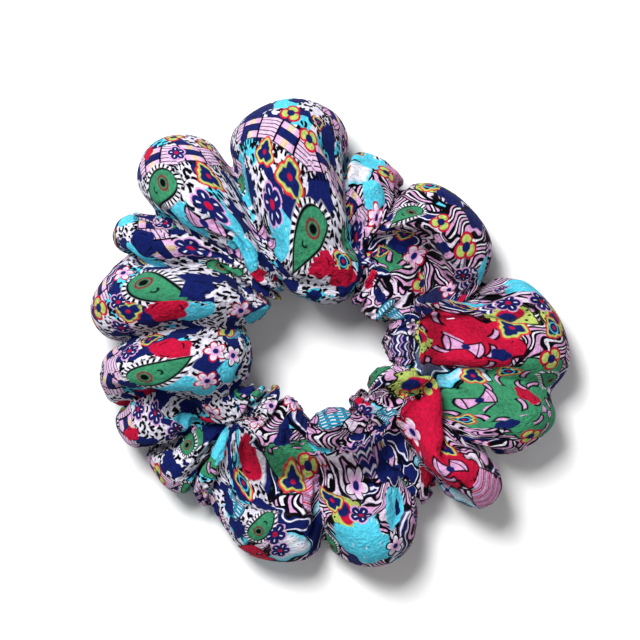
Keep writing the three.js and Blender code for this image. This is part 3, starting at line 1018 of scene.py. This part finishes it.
def sleeve_pieces():
    full = bmesh.new()
    full.from_mesh(whole)
    stored = full.verts.layers.float_vector.new("outward")
    full.verts.ensure_lookup_table()
    for vert, normal in zip(full.verts, normals.reshape(-1, 3)):
        vert[stored] = Vector(normal)
    pieces = []
    for number in range(1, 16):
        part = wedge(full, CUTS[number - 1], CUTS[number])
        mesh = bpy.data.meshes.new(f"sleeve_gather_{number:02d}")
        part.to_mesh(mesh)
        part.free()
        out = np.empty(len(mesh.vertices) * 3, np.float32)
        mesh.attributes["outward"].data.foreach_get("vector", out)
        mesh.attributes.remove(mesh.attributes["outward"])
        out = out.reshape(-1, 3)
        out /= np.maximum(np.linalg.norm(out, axis=1, keepdims=True), 1e-9)
        mesh.polygons.foreach_set("use_smooth", [True] * len(mesh.polygons))
        mesh.normals_split_custom_set_from_vertices([tuple(map(float, n)) for n in out])
        mesh.materials.append(crepe)
        obj = new_object(mesh.name, mesh)
        blend_across(obj)
        stands_for(number, "sleeve_puff")
        pieces.append(obj)
    full.free()
    return pieces


def declare_sheet(obj):
    """Measures the piece's own share of the flat strip in cloth coordinates; the area is not returned or
    kept.
    """
    mesh = obj.data
    flat = np.empty(len(mesh.loops) * 2, np.float32)
    mesh.uv_layers["cloth"].data.foreach_get("uv", flat)
    flat = flat.reshape(-1, 2).astype(float) * MM
    area = 0.0
    for face in mesh.polygons:
        p = flat[face.loop_start:face.loop_start + face.loop_total]
        area += abs(float((p[:, 0] * roll(p[:, 1], -1) - roll(p[:, 0], -1) * p[:, 1]).sum())) / 2


sleeve = sleeve_pieces()


# ---------------- the elastic and the threads, inside the sleeve

ELASTIC_FIRST, ELASTIC_LAST = 7.0, 340.0  # the two CAD end nodes fill the gap left by these angles
SEAM_RADIUS, SEAM_HEIGHT, SEAM_DIP = 25.4, 9.2, 0.12
OFF_WHITE, OFF_WHITE_SHADE = rgb(242, 240, 232), rgb(206, 202, 190)


def solid(name, verts, faces, material):
    """A closed mesh with smooth faces, all turned outwards."""
    mesh = bpy.data.meshes.new(name)
    mesh.from_pydata(verts, [], faces)
    turned_out = bmesh.new()
    turned_out.from_mesh(mesh)
    bmesh.ops.recalc_face_normals(turned_out, faces=turned_out.faces[:])
    turned_out.to_mesh(mesh)
    turned_out.free()
    mesh.polygons.foreach_set("use_smooth", [True] * len(mesh.polygons))
    mesh.materials.append(material)
    return new_object(name, mesh)


def swept(name, first, last, section, step, material):
    """A closed section carried round the ring; section(angle) gives its (radius, z) points in mm."""
    count = max(2, int(math.ceil((last - first) / step)))
    rings = []
    for i in range(count + 1):
        angle = first + (last - first) * i / count
        rings.append([ring_point(angle, r, z) for r, z in section(angle)])
    sides = len(rings[0])
    verts = [tuple(p) for ring in rings for p in ring]
    faces = [
        (i * sides + j, i * sides + (j + 1) % sides, (i + 1) * sides + (j + 1) % sides, (i + 1) * sides + j)
        for i in range(count) for j in range(sides)
    ]
    faces += [tuple(reversed(range(sides))), tuple(range(count * sides, (count + 1) * sides))]
    obj = solid(name, verts, faces, material)
    mesh = obj.data
    mesh.set_sharp_from_angle(angle=math.radians(50))
    layer = mesh.uv_layers.new(name="length")
    for face in mesh.polygons:
        for loop in face.loop_indices:
            ring, side = divmod(mesh.loops[loop].vertex_index, sides)
            angle = first + (last - first) * ring / count
            layer.data[loop].uv = (math.radians(angle) * ELASTIC_RADIUS, side / sides)
    return obj


def band_section(angle):
    """Flat knitted elastic: six ribs across each face, with rounded edges."""
    points = []
    for side in (1, -1):
        for i in range(25):
            share = i / 24 if side > 0 else 1 - i / 24
            rib = 0.06 * math.cos(share * 12 * math.pi)
            edge = 0.5 - 0.22 * abs(2 * share - 1) ** 8
            radius = ELASTIC_RADIUS + side * (edge - 0.06 + rib) * ELASTIC_THICK
            points.append((radius, ELASTIC_MIDDLE + (share - 0.5) * ELASTIC_WIDTH))
    return points


def thread_section(radius, z, depth):
    """A sewing thread in a running stitch: it dips through the cloth every 2.5 mm."""
    def section(angle):
        dip = depth * math.sin(math.radians(angle) * radius * 2 * math.pi / 2.5)
        turns = np.arange(8) * math.pi / 4
        return [(radius + 0.25 * math.cos(a) + dip, z + 0.25 * math.sin(a)) for a in turns]
    return section


def knit(shader, wale, fuzz, height):
    """The finish of knitted elastic: off-white, ribbed lengthwise."""
    put(shader, "Base Color", over(OFF_WHITE, OFF_WHITE_SHADE, low(wale + fuzz * 0.5, 1.0)))
    put(shader, "Roughness", fuzz * 0.2 + 0.7)
    shader.inputs["Sheen Weight"].default_value = 0.3
    bump(shader, height, 0.0002)


def elastic_material():
    material, shader = new_material("elastic_band")
    s, side = uv("length")
    wale = calc("PINGPONG", side * 12, 0.5)
    fuzz = noise(vector(s, side * 20), 2.2, 3)
    knit(shader, wale, fuzz, wave(s, 9.0) * 0.25 + wale + fuzz * 0.4)
    return material


def end_material():
    """The same knitted elastic on its two CAD ends, whose meshes have no cloth coordinates."""
    material, shader = new_material("elastic_ends")
    place, (_, _, z) = place_in_object()
    wale = calc("PINGPONG", z * 1000, 0.5)
    fuzz = noise(place, 2200, 3)
    knit(shader, wale, fuzz, wale + fuzz * 0.4)
    return material


def thread_material():
    """Two-ply polyester thread, in coordinates of its own place in the object."""
    material, shader = new_material("sewing_thread")
    place, (x, y, z) = place_in_object()
    twist = wave(x * 900 + y * 900 + z * 2200, 1.0)
    fuzz = noise(place, 1800, 2)
    shade = low(twist * 0.3 + fuzz * 0.7, 1.0)
    put(shader, "Base Color", over(rgb(236, 232, 244), rgb(196, 190, 212), shade))
    put(shader, "Roughness", fuzz * 0.25 + 0.42)
    shader.inputs["Sheen Weight"].default_value = 0.25
    bump(shader, twist + fuzz * 0.4, 0.00008)
    return material


def closing_stitches(material):
    """The stitches that join the tube's two ends: a closed loop just inside the cloth at that seam."""
    path = blurred(cloth, 2)[0] - normals[0] * 0.9
    sides, count = 8, len(path)
    ahead = roll(path, -1, 0) - roll(path, 1, 0)
    ahead /= np.linalg.norm(ahead, axis=1, keepdims=True)
    side = np.cross(ahead, normals[0])
    side /= np.linalg.norm(side, axis=1, keepdims=True)
    up = np.cross(side, ahead)
    dip = 0.12 * np.sin(np.arange(count) * 2 * np.pi * 36 / count)[:, None]
    turns = np.arange(sides) * math.pi / 4
    rings = [path + up * dip + 0.2 * (side * math.cos(a) + up * math.sin(a)) for a in turns]
    verts = (np.stack(rings, 1).reshape(-1, 3) * MM).tolist()
    return solid("closing_seam_stitches", verts, tube_faces(count, sides, True).tolist(), material)


def inner_pieces():
    band, thread = elastic_material(), thread_material()
    names = {}
    for number in range(1, 16):
        first, last = CUTS[number - 1], CUTS[number]
        start = ELASTIC_FIRST if number == 1 else first
        end = ELASTIC_LAST if number == 15 else last
        strip = swept(f"elastic_{number:02d}", start, end, band_section, 1.5, band)
        blend_across(strip)
        stands_for(number, "elastic_run")
        names[f"sleeve_gather_{number:02d}"] = strip.name
        section = thread_section(SEAM_RADIUS, SEAM_HEIGHT, SEAM_DIP)
        seam = swept(f"lengthwise_stitches_{number:02d}", first, last, section, 0.9, thread)
        blend_across(seam)
        stands_for(number, "long_seam_thread")
    closing = closing_stitches(thread)
    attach(closing, "seam_start_side")
    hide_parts("closing_seam_thread")
    ends = end_material()
    for node, material in (
        ("elastic_inner_end", ends), ("elastic_outer_end", ends),
        ("elastic_tack_inner", thread), ("elastic_tack_outer", thread),
    ):
        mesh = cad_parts[node].data
        mesh.materials.clear()
        mesh.materials.append(material)
    return names


elastic_names = inner_pieces()
for piece in sleeve:
    declare_sheet(piece)
